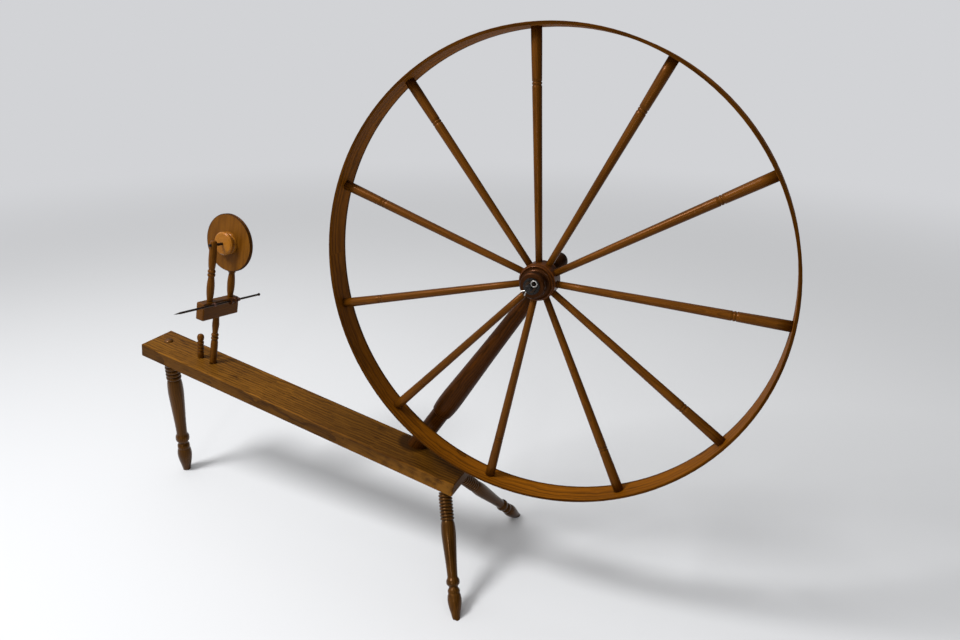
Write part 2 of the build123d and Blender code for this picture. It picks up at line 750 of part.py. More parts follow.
with BuildPart() as spindle:
    with BuildSketch(turning_plane(spindle_centre, head_back)):
        with BuildLine():
            draw_spindle()
        make_face()
    revolve(axis=spindle_line)
spindle.part.label = "spindle"
export_step(spindle.part, "parts/spindle.step")

with BuildPart() as spindle_whorl:
    with BuildSketch(turning_plane(spindle_centre, head_back)):
        with BuildLine():
            start = whorl_place - whorl_length / 2
            end = whorl_place + whorl_length / 2
            inner = spindle_diameter / 2 + seat_gap
            lip = whorl_length * 0.18
            Polyline((whorl_radius, end - lip), (whorl_radius, end), (inner, end), (inner, start),
                     (whorl_radius, start), (whorl_radius, start + lip))
            ThreePointArc((whorl_radius, start + lip), (whorl_radius * 0.6, whorl_place),
                          (whorl_radius, end - lip))
        make_face()
    revolve(axis=spindle_line)
spindle_whorl.part.label = "spindle_whorl"
export_step(spindle_whorl.part, "parts/spindle_whorl.step")


# ---------------------------------------------------------------- peg beside the head
def draw_peg():
    """Draw the peg's outline: tenon, stem with three cut rings, neck and rounded head."""
    crown = peg_diameter / 2
    stem = crown * 0.95
    neck = crown * 0.82
    tenon = peg_tenon_diameter / 2
    head = peg_height * 0.7
    cut = peg_height * 0.03
    Polyline((0, -peg_tenon_length), (tenon, -peg_tenon_length), (tenon, 0), (stem, 0))
    stem_start = 0
    for share in (0.34, 0.45, 0.56):
        ring = peg_height * share
        Line((stem, stem_start), (stem, ring - cut))
        ThreePointArc((stem, ring - cut), (neck, ring), (stem, ring + cut))
        stem_start = ring + cut
    Polyline((stem, stem_start), (neck, head), (crown, head + 2 * cut), (crown, peg_height - crown))
    RadiusArc((crown, peg_height - crown), (0, peg_height), -crown)
    Line((0, peg_height), (0, -peg_tenon_length))


with BuildPart() as bed_peg:
    with BuildSketch(turning_plane(peg_base, bed_normal)):
        with BuildLine():
            draw_peg()
        make_face()
    revolve(axis=Axis(peg_base, bed_normal))
bed_peg.part.label = "bed_peg"
export_step(bed_peg.part, "parts/bed_peg.step")
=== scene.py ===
"""Looks of a great wheel: a walking spinning wheel with an accelerating spindle head.

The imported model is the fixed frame. This script gives each of its pieces the finish of the real one, turns
the spokes, legs, uprights, head post and peg with deeper beads, cuts the axle's thread, folds the leather
bearings, and sets the floor, the light and the camera. Everything is in metres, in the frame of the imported
model, except where a name ends in _mm and in a turning's profile, which is in mm.
"""

import json
import logging
from dataclasses import dataclass, field
from enum import Enum
from math import copysign, cos, pi, radians, sin
from typing import Any, Sequence

import bpy
import numpy as np
from mathutils import Matrix, Vector


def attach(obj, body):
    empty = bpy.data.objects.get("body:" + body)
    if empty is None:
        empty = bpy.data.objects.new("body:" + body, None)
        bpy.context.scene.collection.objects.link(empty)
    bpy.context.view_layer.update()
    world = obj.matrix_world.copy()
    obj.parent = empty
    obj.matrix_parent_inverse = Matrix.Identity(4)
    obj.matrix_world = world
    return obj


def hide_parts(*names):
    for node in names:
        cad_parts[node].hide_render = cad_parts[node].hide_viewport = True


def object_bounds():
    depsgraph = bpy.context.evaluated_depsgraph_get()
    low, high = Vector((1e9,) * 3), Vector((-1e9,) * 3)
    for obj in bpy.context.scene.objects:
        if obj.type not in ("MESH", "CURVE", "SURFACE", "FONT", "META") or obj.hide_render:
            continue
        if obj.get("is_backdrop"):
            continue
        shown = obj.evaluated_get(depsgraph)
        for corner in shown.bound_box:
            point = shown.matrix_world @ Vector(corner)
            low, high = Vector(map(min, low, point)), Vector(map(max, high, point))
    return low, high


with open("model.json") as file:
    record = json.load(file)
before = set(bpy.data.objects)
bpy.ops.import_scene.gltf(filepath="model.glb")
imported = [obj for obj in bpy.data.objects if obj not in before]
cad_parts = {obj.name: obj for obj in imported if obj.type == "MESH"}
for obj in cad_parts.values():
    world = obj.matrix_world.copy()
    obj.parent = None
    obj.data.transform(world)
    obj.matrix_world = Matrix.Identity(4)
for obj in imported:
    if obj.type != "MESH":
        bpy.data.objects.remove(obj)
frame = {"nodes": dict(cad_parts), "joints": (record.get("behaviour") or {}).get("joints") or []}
nodes = frame["nodes"]

log = logging.getLogger("great_wheel")

Tree, Socket = bpy.types.NodeTree, bpy.types.NodeSocket
Material, Piece = bpy.types.Material, bpy.types.Object

MM = 0.001
RING_PERIOD = 2 * pi / 20     # of Blender's wave texture at a scale of 1
SWAY_LENGTH = 90 * MM         # how far apart the grain's bends lie
SWAY_REACH = 16 * MM          # and how far they carry it aside
FLECK_SIZE = 11 * MM          # width of a mineral fleck
GROOVE_OPEN_SHUT = (0.94, 0.5)     # how open a groove is where its painted shade and stain start, and where they are full
GROOVE_SHADE_AND_STAIN = 0.92           # how dark the painted shade and stain get there
ARRIS_WEAR = 0.55             # how far a board's arrises are rubbed to the light tone
PLANED_BARE = 0.7             # how far a leg's planed end is
SIDE_SHADE = 0.5              # painted shade: how much darker a board's sides are than its planed face
THINNEST_MM = 0.05            # radius at which a turning's tip ends


# ------------------------ small tools
def linear(hex_colour: str) -> tuple[float, float, float, float]:
    """Turns an sRGB hex colour into the linear colour that a shader takes.

    Args:
        hex_colour: The colour, such as "#7a4e22".

    Returns:
        Red, green, blue and an alpha of 1.
    """
    channels = [int(hex_colour[i:i + 2], 16) / 255 for i in (1, 3, 5)]
    made = [c / 12.92 if c <= 0.04045 else ((c + 0.055) / 1.055) ** 2.4 for c in channels]
    return made[0], made[1], made[2], 1.0


def add_node(tree: Tree, kind: str, inputs: dict[Any, Any] | None = None,
             **settings: Any) -> bpy.types.Node:
    """Adds a shader node with its settings, values and links.

    Args:
        tree: The node tree.
        kind: The node's type, without "ShaderNode" in front.
        inputs: What each input takes, by its name or number: a value, or a socket to link from.
        **settings: Its own settings.

    Returns:
        The node.
    """
    node = tree.nodes.new("ShaderNode" + kind)
    for name, value in settings.items():
        setattr(node, name, value)
    for name, value in (inputs or {}).items():
        if isinstance(value, Socket):
            tree.links.new(value, node.inputs[name])
        else:
            node.inputs[name].default_value = value
    return node


def tree_of(*values: Any) -> Tree:
    """Finds the node tree of the sockets among some values.

    Args:
        *values: Numbers, colours and sockets, of which at least one is a socket.

    Returns:
        The node tree.
    """
    return next(v.id_data for v in values if isinstance(v, Socket))


def remap(value: Socket, start: float, stop: float, low: float = 0.0,
          high: float = 1.0, smooth: bool = False) -> Socket:
    """Carries a value from one range to another, and holds it at both ends.

    Args:
        value: What it reads.
        start: The value that becomes low.
        stop: The value that becomes high.
        low: The result up to the start.
        high: The result from the stop on.
        smooth: Whether it eases in and out.

    Returns:
        The result.
    """
    ends = {"From Min": start, "From Max": stop, "To Min": low, "To Max": high}
    return add_node(value.id_data, "MapRange", {"Value": value, **ends},
                    interpolation_type="SMOOTHSTEP" if smooth else "LINEAR").outputs[0]


def blend(share: Any, first: Any, second: Any) -> Socket:
    """Mixes two colours.

    Args:
        share: How much of the second there is, as a number or a socket.
        first: A hex colour or a socket.
        second: A hex colour or a socket.

    Returns:
        The mixed colour.
    """
    first, second = [linear(c) if isinstance(c, str) else c for c in (first, second)]
    inputs = {"Fac": share, "Color1": first, "Color2": second}
    return add_node(tree_of(share, first, second), "MixRGB", inputs).outputs[0]


def reckon(kind: str, operation: str, *values: Any) -> Socket:
    """Works out one sum.

    Args:
        kind: "Math" for numbers or "VectorMath" for vectors.
        operation: The sum's name.
        *values: What it works on.

    Returns:
        The result: a number, or a vector where the sum gives one.
    """
    node = add_node(tree_of(*values), kind, dict(enumerate(values)), operation=operation)
    return node.outputs["Value" if kind == "Math" or operation in ("DOT_PRODUCT", "LENGTH") else "Vector"]


def noise(place: Socket, size: float, detail: float,
          seed: float | None = None, roughness: float = 0.5, output: str = "Fac") -> Socket:
    """Draws a soft random pattern.

    Args:
        place: Where it is read.
        size: Size of its marks.
        detail: How many finer layers it has.
        seed: What sets one pattern apart from another, or None for the plain one.
        roughness: How strong the finer layers are.
        output: Which of the texture's outputs is wanted.

    Returns:
        The pattern.
    """
    inputs = {"Vector": place, "Scale": 1 / size, "Detail": detail, "Roughness": roughness}
    if seed is None:
        return add_node(place.id_data, "TexNoise", inputs).outputs[output]
    return add_node(place.id_data, "TexNoise", {**inputs, "W": seed}, noise_dimensions="4D").outputs[output]


def stretch(place: Socket, share: float) -> Socket:
    """Draws a pattern out along the grain.

    Args:
        place: Where the pattern is read.
        share: How fast it is read along the grain: the less, the longer its marks.

    Returns:
        The new place to read it at.
    """
    return add_node(place.id_data, "Mapping", {"Vector": place, "Scale": (1, 1, share)}).outputs[0]


def new_material(name: str) -> tuple[Material, Tree]:
    """Makes an empty material that is drawn by nodes.

    Args:
        name: The material's name.

    Returns:
        The material and its node tree.
    """
    material = bpy.data.materials.new(name)
    material.use_nodes = True
    material.node_tree.nodes.clear()
    return material, material.node_tree


def dress(node: Piece, material: Material) -> None:
    """Gives a piece its finish through its object's own slots, so that its mesh stays as packed.

    Args:
        node: The piece.
        material: Its finish.
    """
    if not node.material_slots:
        node.data.materials.append(material)
    for slot in node.material_slots:
        slot.link = "OBJECT"
        slot.material = material


def put(name: str, data: bpy.types.ID) -> Piece:
    """Puts a mesh, a lamp or a camera in the scene.

    Args:
        name: What its object is called.
        data: The mesh, lamp or camera.

    Returns:
        Its object.
    """
    made = bpy.data.objects.new(name, data)
    bpy.context.scene.collection.objects.link(made)
    return made


def loft(rings: int, sides: int) -> list[list[int]]:
    """Joins rings of points by four-sided faces.

    Args:
        rings: How many rings there are.
        sides: How many points each has.

    Returns:
        The faces between them, without the two ends.
    """
    return [[low + k, low + (k + 1) % sides, low + sides + (k + 1) % sides, low + sides + k]
            for low in range(0, sides * (rings - 1), sides) for k in range(sides)]


def rising(direction: Vector) -> Vector:
    """Turns a direction round if it points down.

    Args:
        direction: The direction.

    Returns:
        It, or its opposite, whichever points up.
    """
    return direction if direction.z > 0 else -direction


def mesh_piece(name: str, body: str, points: list[Vector], faces: list[list[int]],
               material: Material) -> Piece:
    """Makes a smooth piece that rides on a body.

    Args:
        name: The piece's name.
        body: The body that it moves with.
        points: Its points.
        faces: Its faces, each a list of point numbers.
        material: Its finish.

    Returns:
        The piece.
    """
    mesh = bpy.data.meshes.new(name)
    mesh.from_pydata([tuple(p) for p in points], [], faces)
    mesh.update()
    mesh.polygons.foreach_set("use_smooth", [True] * len(mesh.polygons))
    mesh.materials.append(material)
    piece = put(name, mesh)
    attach(piece, body)
    return piece


def joint_line(name: str) -> tuple[Vector, Vector]:
    """Reads a joint's place and direction from the frame.

    Args:
        name: The joint's name.

    Returns:
        A point on its axis, and the axis as a unit vector.
    """
    joint = next(j for j in frame["joints"] if j["name"] == name)
    return Vector(joint["pos_m"]), Vector(joint["axis"]).normalized()


def own_axes(node: Piece) -> tuple[Vector, list[Vector]]:
    """Finds the directions that a piece runs in, from its own points.

    Args:
        node: The piece.

    Returns:
        Its middle, and its long, middle and short directions as unit vectors.
    """
    points = np.array([v.co for v in node.data.vertices], float)
    middle = (points.min(0) + points.max(0)) / 2
    directions = np.linalg.svd(points - points.mean(0), full_matrices=False)[2]
    return Vector(middle), [Vector(d) for d in directions]


# ------------------------ timber
class Cut(Enum):
    """How a piece of timber's rings lie in it, as the distance in mm from its middle to the pith."""

    BOARD = (18.0, -70.0)       # a flat-sawn plank, whose rings show as long arches
    BLANK = (11.0, 34.0)        # a turning blank, split out beside the pith
    HOOP = (46.0, 20.0)         # a riven strip, bent edge grain out
    FACE = (24.0, -52.0)        # a slice across a wide board, for a disc


@dataclass(frozen=True)
class Timber:
    """A stained wood under satin varnish: what its grain, pores, stain and varnish look like."""

    name: str
    body: str                   # the stained wood's own tone
    light: str                  # early wood, and where the stain has worn thin
    dark: str                   # late wood, pores, and the stain and painted shade in the grooves
    ring_mm: float = 3.2        # width of a year's growth
    ring_strength: float = 0.5
    streak_mm: float = 1.3      # width of a fibre streak, drawn coarser than it is so that it shows
    streak_strength: float = 0.65
    pore_mm: float = 0.7        # width of an open pore, drawn coarser than it is so that it shows
    pore_strength: float = 0.55
    blotch_mm: float = 70.0     # size of the uneven places in the stain
    blotch_strength: float = 0.5
    fleck_strength: float = 0.0     # of sparse dark mineral streaks
    groove_mm: float = 7.0      # how far round a groove its painted shade and stain reach
    varnish: float = 0.12       # how much of the surface still has its varnish
    varnish_roughness: float = 0.2
    sheen_level: float = 0.3    # specular level of the oiled wood under it
    sheen_tint: str = "#ff9440"     # the amber that the stain gives its sheen
    relief: float = 0.3         # strength of the open grain
    roughness: float = 0.46

    def grain(self, place: Socket, seed: float) -> dict[str, Any]:
        """Draws the wood's figure.

        Args:
            place: Coordinates in metres, with Z along the grain and the pith at X = Y = 0.
            seed: What sets its figure apart.

        Returns:
            Its rings, streaks, pores, blotches and flecks, each from 0 to 1.
        """
        tree = place.id_data
        sway = noise(place, SWAY_LENGTH, 2.0, seed, output="Color")
        centred = reckon("VectorMath", "SUBTRACT", sway, (0.5, 0.5, 0.5))
        shift = add_node(tree, "VectorMath", {0: centred, "Scale": SWAY_REACH}, operation="SCALE").outputs[0]
        swayed = reckon("VectorMath", "ADD", place, shift)
        long = stretch(swayed, 0.02)
        rings = add_node(tree, "TexWave", {"Vector": long, "Scale": RING_PERIOD / (self.ring_mm * MM),
                                           "Distortion": 1.2, "Detail": 2.0, "Detail Scale": 1.5},
                         wave_type="RINGS", rings_direction="Z", wave_profile="SAW")
        pores = noise(stretch(swayed, 0.04), self.pore_mm * MM, 1.0, seed + 7)
        minerals = noise(stretch(place, 0.22), FLECK_SIZE, 2.0, seed + 17)
        return {"rings": rings.outputs["Fac"],
                "streaks": noise(long, self.streak_mm * MM, 3.0, seed + 3, 0.62),
                "pores": remap(pores, 0.6, 0.72),
                "blotches": noise(stretch(place, 0.3), self.blotch_mm * MM, 3.0, seed + 11),
                "flecks": remap(minerals, 0.64, 0.72)}

    def finish(self, place: Socket, seed: float, wear: Socket | None = None,
               dirt_and_shade: Socket | None = None) -> None:
        """Draws the whole finish: figure, stain, grime, painted shade in the grooves, and varnish.

        Args:
            place: Coordinates in metres, with Z along the grain and the pith at X = Y = 0.
            seed: What sets its figure apart.
            wear: Where handling has rubbed the stain thin, from 0 to 1.
            dirt_and_shade: Where grease or old stain has darkened it, and where shade and shadow are painted,
                from 0 to 1.
        """
        tree, figure = place.id_data, self.grain(place, seed)
        late = remap(figure["rings"], 0.35, 1.0, 0.0, self.ring_strength, smooth=True)
        pale = remap(figure["streaks"], 0.5, 0.78, 0.0, self.streak_strength)
        dull = remap(figure["streaks"], 0.5, 0.26, 0.0, 0.9 * self.streak_strength)
        tone = blend(remap(figure["blotches"], 0.3, 0.7), self.body, self.light)
        colour = blend(1 - self.blotch_strength, tone, self.body)
        layers = [(late, self.dark), (pale, self.light), (dull, self.dark),
                  (reckon("Math", "MULTIPLY", figure["pores"], self.pore_strength), self.dark),
                  (reckon("Math", "MULTIPLY", figure["flecks"], self.fleck_strength), self.dark),
                  (dirt_and_shade, self.dark), (wear, self.light)]
        for share, layer in layers:
            if share is not None:
                colour = blend(share, colour, layer)
        # painted shade: darker in grooves and hollows, found by ambient occlusion, with old stain gathered
        # there too
        hollow = add_node(tree, "AmbientOcclusion", {"Distance": self.groove_mm * MM}, samples=8,
                          only_local=True)
        groove_shade = remap(hollow.outputs["AO"], *GROOVE_OPEN_SHUT, 0.0, GROOVE_SHADE_AND_STAIN)
        groove_shaded = blend(groove_shade, colour, self.dark)
        gloss = remap(figure["blotches"], 0.3, 0.7, self.roughness - 0.07, self.roughness + 0.09)
        relief = reckon("Math", "SUBTRACT", figure["streaks"], figure["pores"])
        bump = add_node(tree, "Bump", {"Height": relief, "Strength": self.relief, "Distance": 0.25 * MM})
        shader = add_node(tree, "BsdfPrincipled", {
            "Base Color": groove_shaded, "Roughness": gloss, "IOR": 1.5, "Specular IOR Level": self.sheen_level,
            "Specular Tint": linear(self.sheen_tint), "Coat Weight": self.varnish,
            "Coat Roughness": self.varnish_roughness, "Normal": bump.outputs[0]})
        add_node(tree, "OutputMaterial", {"Surface": shader.outputs[0]})

    def along(self, piece: str, middle: Vector, direction: Vector, cut: Cut, seed: float,
              wear_across: tuple[Vector, float] | None = None, bare_past: float | None = None,
              planed: Vector | None = None,
              stains_and_shadows: tuple[tuple[Vector, Vector, float, float, float], ...] = ()) -> Material:
        """Makes this timber for a piece whose grain runs straight.

        Args:
            piece: What the piece is called.
            middle: The piece's middle.
            direction: The way its grain runs.
            cut: How its rings lie.
            seed: What sets its figure apart.
            wear_across: A direction across a board and half its width, for its rubbed arrises.
            bare_past: How far from the middle along the grain its end has been planed bare.
            planed: The way its planed face looks; its other sides are drawn darker, as painted shade.
            stains_and_shadows: Dark rings round an axle, some of stain and some of painted shadow: a point on
                it, its direction, how far out each starts and is full, and how deep it is.

        Returns:
            The material.
        """
        material, tree = new_material(f"{self.name}_{piece}")
        place = add_node(tree, "TexCoord").outputs["Object"]
        turn = direction.rotation_difference(Vector((0, 0, 1))).to_matrix()
        pith = Vector((cut.value[0] * MM, cut.value[1] * MM, 0))
        laid = add_node(tree, "Mapping", {"Vector": place, "Location": pith - turn @ middle,
                                          "Rotation": turn.to_euler()})
        wear = dirt_and_shade = None
        if wear_across:
            across, half_width = wear_across
            reach = reckon("VectorMath", "DOT_PRODUCT", place, across)
            off = reckon("Math", "SUBTRACT", reach, middle.dot(across))
            edge = remap(reckon("Math", "ABSOLUTE", off), half_width - 6 * MM, half_width - 1 * MM, 0.0,
                         ARRIS_WEAR)
            worn = remap(noise(place, 28 * MM, 3.0), 0.35, 0.6)
            wear = reckon("Math", "MULTIPLY", edge, worn)
        if bare_past is not None:
            start = middle.dot(direction) + bare_past
            wear = remap(reckon("VectorMath", "DOT_PRODUCT", place, direction), start,
                         start + 1 * MM, 0.0, PLANED_BARE)
        # painted shade: faces turned away from the planed face are darker
        if planed:
            normal = add_node(tree, "NewGeometry").outputs["True Normal"]
            dirt_and_shade = remap(reckon("VectorMath", "DOT_PRODUCT", normal, planed), 0.6, 0.3, 0.0,
                         SIDE_SHADE)
        for point, axle, start, full, depth in stains_and_shadows:
            square = reckon("VectorMath", "CROSS_PRODUCT",
                            reckon("VectorMath", "SUBTRACT", place, point), axle)
            ring = remap(reckon("VectorMath", "LENGTH", square), start, full, 0.0, depth,
                         smooth=True)
            dirt_and_shade = ring if dirt_and_shade is None else reckon("Math", "MAXIMUM", dirt_and_shade, ring)
        self.finish(laid.outputs[0], seed, wear, dirt_and_shade)
        return material

    def down(self, piece: str, seed: float) -> Material:
        """Gives a blank its finish, with the grain along its own length.

        Args:
            piece: The piece's node.
            seed: What sets its figure apart.

        Returns:
            The material.
        """
        middle, (long, *_) = own_axes(nodes[piece])
        wood = self.along(piece, middle, long, Cut.BLANK, seed)
        dress(nodes[piece], wood)
        return wood

    def around(self, piece: str, centre: Vector, axis: Vector, radius: float, cut: Cut, seed: float,
               edges: tuple[float, float]) -> Material:
        """Makes this timber for a hoop, whose grain runs round with it.

        Args:
            piece: What the piece is called.
            centre: The hoop's centre.
            axis: Its axis.
            radius: Its radius.
            cut: How its rings lie.
            seed: What sets its figure apart.
            edges: Where its two edges lie along the axis, which are drawn darker.

        Returns:
            The material.
        """
        material, tree = new_material(f"{self.name}_{piece}")
        place = add_node(tree, "TexCoord").outputs["Object"]
        turn = axis.rotation_difference(Vector((0, 0, 1))).to_matrix()
        flat = add_node(tree, "Mapping", {"Vector": place, "Location": -(turn @ centre),
                                          "Rotation": turn.to_euler()})
        parts = add_node(tree, "SeparateXYZ", {0: flat.outputs[0]})
        arc = reckon("Math", "MULTIPLY",
                     reckon("Math", "ARCTAN2", parts.outputs["Y"], parts.outputs["X"]), radius)
        outward = add_node(tree, "CombineXYZ", {0: parts.outputs["X"], 1: parts.outputs["Y"]})
        reach = reckon("VectorMath", "LENGTH", outward.outputs[0])
        across = reckon("Math", "ADD", reach, cut.value[0] * MM - radius)
        beside = reckon("Math", "ADD", parts.outputs["Z"], cut.value[1] * MM)
        unrolled = add_node(tree, "CombineXYZ", {0: across, 1: beside, 2: arc})
        # darker towards both edges of the hoop
        back = remap(parts.outputs["Z"], edges[0] + 12 * MM, edges[0] + 2 * MM, 0.0, 0.85)
        front = remap(parts.outputs["Z"], edges[1] - 2 * MM, edges[1], 0.0, 0.7)
        self.finish(unrolled.outputs[0], seed, dirt_and_shade=reckon("Math", "MAXIMUM", back, front))
        return material


# Oak plank: open-grained, stained golden brown, so that the pores and arches of the grain stand out
OAK_PLANK = Timber("stained_oak_plank", "#5c390a", "#84571a", "#180b01", ring_mm=9.0, ring_strength=0.62,
                   streak_mm=2.8, streak_strength=0.75, pore_mm=2.0, pore_strength=0.8, blotch_mm=110.0,
                   fleck_strength=0.7, varnish=0.03, sheen_level=0.15, roughness=0.6)
# Steam-bent ash hoop: long straight streaks that follow the bend
ASH_HOOP = Timber("bent_ash_hoop", "#613604", "#90550c", "#1a0b01", ring_mm=9.0, ring_strength=0.55,
                  streak_mm=3.2, streak_strength=0.55, pore_mm=2.0, pore_strength=0.25, blotch_mm=120.0,
                  varnish=0.0, sheen_level=0.1, relief=0.02, roughness=0.68)
# Turned ash spokes: close straight grain, with a stripe of gloss down each
ASH_SPOKE = Timber("turned_ash", "#412303", "#683c09", "#150901", ring_mm=4.0, ring_strength=0.35,
                   streak_mm=2.0, streak_strength=0.45, pore_strength=0.3, varnish=0.03, sheen_level=0.3,
                   sheen_tint="#ffa04c", relief=0.02, roughness=0.4)
# Turned maple hub: close-grained and reddish under a dark stain, glossier where it has been handled
MAPLE_HUB = Timber("turned_maple_hub", "#3d1f07", "#623410", "#0a0401", ring_mm=3.5, ring_strength=0.35,
                   pore_strength=0.2, varnish=0.06, sheen_level=0.3, relief=0.1, roughness=0.36)
# Turned oak post: a dark stain, with painted shade nearly black in its notches
OAK_POST = Timber("dark_stained_oak", "#2a1402", "#482403", "#0b0500", ring_mm=6.0, ring_strength=0.6,
                  streak_mm=2.4, pore_mm=1.2, pore_strength=0.5, varnish=0.06, sheen_level=0.2)
# Turned oak legs: the darkest pieces, with painted shade black in the cut rings and gloss on the beads
OAK_LEG = Timber("brown_stained_oak", "#2e1a04", "#5a360a", "#080401", ring_mm=7.0, ring_strength=0.45,
                 streak_mm=3.0, streak_strength=0.5, pore_mm=1.4, pore_strength=0.3, varnish=0.03,
                 varnish_roughness=0.14, sheen_level=0.3, sheen_tint="#ffb46c", relief=0.12,
                 roughness=0.28)
# Turned maple head: small pieces, even grain, stained mid brown
MAPLE_HEAD = Timber("stained_maple", "#412403", "#73450e", "#0e0601", ring_mm=4.0, ring_strength=0.4,
                    streak_mm=1.8, streak_strength=0.5, pore_strength=0.3, varnish=0.03,
                    varnish_roughness=0.18, sheen_level=0.25, sheen_tint="#ffa04c", relief=0.1,
                    roughness=0.42)
# Accelerating disc, faced on the lathe: flat wide grain with a soft sheen
MAPLE_DISC = Timber("faced_maple", "#4e2c05", "#6c430f", "#1b0c01", ring_mm=14.0, ring_strength=0.15,
                    streak_mm=2.4, streak_strength=0.3, pore_strength=0.25, blotch_mm=28.0,
                    blotch_strength=0.9, varnish=0.06, sheen_level=0.2)
# Birch pulley: the palest and most golden piece
BIRCH_PULLEY = Timber("golden_birch", "#855010", "#ae7326", "#2c1502", ring_mm=3.5, ring_strength=0.3,
                      pore_strength=0.2, varnish=0.25, relief=0.1, roughness=0.4)
# Small whorl on the spindle, black with wax and handling
WAXED_WHORL = Timber("waxed_whorl", "#2a1407", "#472810", "#100602", ring_strength=0.3, pore_strength=0.2,
                     roughness=0.55)


# ------------------------ metal and leather
@dataclass(frozen=True)
class Metal:
    """A bare metal with its scale, rust or rubbing marks."""

    name: str
    body: str
    worn: str                   # where it is rubbed bright
    grime: str                  # where grease and rust have gathered
    grit_mm: float = 1.6        # size of the marks, drawn coarser than they are so that they show
    roughness: float = 0.42

    def material(self) -> Material:
        """Makes the metal's material, with its marks as a pattern and the default IOR."""
        material, tree = new_material(self.name)
        place = add_node(tree, "TexCoord").outputs["Object"]
        marks = noise(place, self.grit_mm * MM, 5.0, roughness=0.65)
        rubbed = blend(remap(marks, 0.45, 0.7), self.body, self.worn)
        dirty = remap(noise(place, 8 * self.grit_mm * MM, 2.0), 0.5, 0.68)
        bump = add_node(tree, "Bump", {"Height": marks, "Strength": 0.3, "Distance": 0.1 * MM})
        shader = add_node(tree, "BsdfPrincipled", {
            "Base Color": blend(dirty, rubbed, self.grime),
            "Metallic": remap(dirty, 0.0, 1.0, 1.0, 0.45),
            "Roughness": remap(marks, 0.3, 0.7, self.roughness + 0.14, self.roughness - 0.08),
            "Normal": bump.outputs[0]})
        add_node(tree, "OutputMaterial", {"Surface": shader.outputs[0]})
        return material


# Forged iron, black with old grease and rubbed grey along its high places
BLACK_IRON = Metal("forged_black_iron", "#1c1b1c", "#45423f", "#120f0d", roughness=0.45)
# Steel browned with handling and old rust, for the spindle and the nut: nearly black, but warmer
BROWNED_STEEL = Metal("browned_drawn_steel", "#2c2019", "#5c493a", "#160e09", grit_mm=1.2, roughness=0.36)
# Zinc-plated steel of the split pin: bright but scuffed
BRIGHT_STEEL = Metal("scuffed_plated_steel", "#9c9a96", "#cfcdc9", "#4c4640", grit_mm=0.9, roughness=0.3)


@dataclass(frozen=True)
class Leather:
    """Oiled harness leather: dark, pebbled and rubbed on its bends."""

    name: str = "oiled_harness_leather"
    body: str = "#32170e"
    rubbed: str = "#6b412f"
    pebble_mm: float = 1.1

    def material(self) -> Material:
        """Makes the leather's material, with its pebbles as a fine relief."""
        material, tree = new_material(self.name)
        place = add_node(tree, "TexCoord").outputs["Object"]
        pebbles = add_node(tree, "TexVoronoi", {"Vector": place, "Scale": 1 / (self.pebble_mm * MM)},
                           feature="SMOOTH_F1")
        worn = remap(noise(place, 4 * MM, 4.0), 0.42, 0.68)
        bump = add_node(tree, "Bump", {"Height": pebbles.outputs["Distance"], "Strength": 0.5,
                                       "Distance": 0.2 * MM})
        shader = add_node(tree, "BsdfPrincipled", {"Base Color": blend(worn, self.body, self.rubbed),
                                                   "Roughness": 0.58, "IOR": 1.5, "Normal": bump.outputs[0]})
        add_node(tree, "OutputMaterial", {"Surface": shader.outputs[0]})
        return material


# ------------------------ turned pieces
def beads(low: float, high: float, count: int, valley: float, crown: float) -> list[tuple[float, float]]:
    """Draws a run of round beads on a turning.

    Args:
        low: Where the run starts, as a height in mm.
        high: Where it ends.
        count: How many beads it has.
        valley: Radius in mm between the beads.
        crown: Radius in mm of each bead.

    Returns:
        Heights and radii in mm along the run.
    """
    steps = 8
    line = []
    for place in range(count * steps + 1):
        share = place % steps / steps
        line.append((low + (high - low) * place / (count * steps),
                     valley + (crown - valley) * sin(pi * share) ** 0.6))
    return line


@dataclass(frozen=True)
class Turning:
    """A turned piece, drawn with its beads and swells at full depth in the place of its plainer solid."""

    node: str                           # the solid that it stands for
    profile: list[tuple[float, float]]  # heights above its seat and radii, in mm
    seat: Vector
    axis: Vector
    trims: Sequence[tuple[Vector, Vector]] = ()     # planes that it ends at: a point on each, and its way out
    sides: int = 40
    smoothing: int = 3                  # spans of the drawn line for each span of the profile

    def smooth_profile(self) -> list[tuple[float, float]]:
        """Runs a smooth line through the profile.

        Returns:
            Heights and radii in mm, from the first to the last.
        """
        line = [self.profile[0]]
        for i in range(1, len(self.profile)):
            (h1, r1), (h2, r2) = self.profile[i - 1], self.profile[i]
            h0, r0 = self.profile[max(i - 2, 0)]
            h3, r3 = self.profile[min(i + 1, len(self.profile) - 1)]
            leaving = (r2 - r0) / (h2 - h0) * (h2 - h1)
            arriving = (r3 - r1) / (h3 - h1) * (h2 - h1)
            for k in range(1, self.smoothing + 1):
                t = k / self.smoothing
                line.append((h1 + (h2 - h1) * t,
                             (2 * t ** 3 - 3 * t ** 2 + 1) * r1 + (t ** 3 - 2 * t ** 2 + t) * leaving
                             + (3 * t ** 2 - 2 * t ** 3) * r2 + (t ** 3 - t ** 2) * arriving))
        return line

    def turn(self, body: str, slot: str, material: Material) -> Piece:
        """Turns the piece and hides its solid.

        Args:
            body: The body that it moves with.
            slot: Not used.
            material: Its finish.

        Returns:
            The piece.
        """
        side = self.axis.orthogonal().normalized()
        other = self.axis.cross(side)
        line = self.smooth_profile()
        angles = [2 * pi * k / self.sides for k in range(self.sides)]
        corners = [self.seat + self.axis * (height * MM)
                   + (side * cos(angle) + other * sin(angle)) * (max(radius, THINNEST_MM) * MM)
                   for height, radius in line for angle in angles]
        end = self.sides * (len(line) - 1)
        faces = [*loft(len(line), self.sides), list(reversed(range(self.sides))),
                 [end + k for k in range(self.sides)]]
        for point, out in self.trims:
            for i, corner in enumerate(corners):
                past = (corner - point).dot(out)
                if past > 0:
                    corners[i] = corner - self.axis * (past / self.axis.dot(out))
        piece = mesh_piece(f"{self.node}_turned", body, corners, faces, material)
        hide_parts(self.node)
        return piece


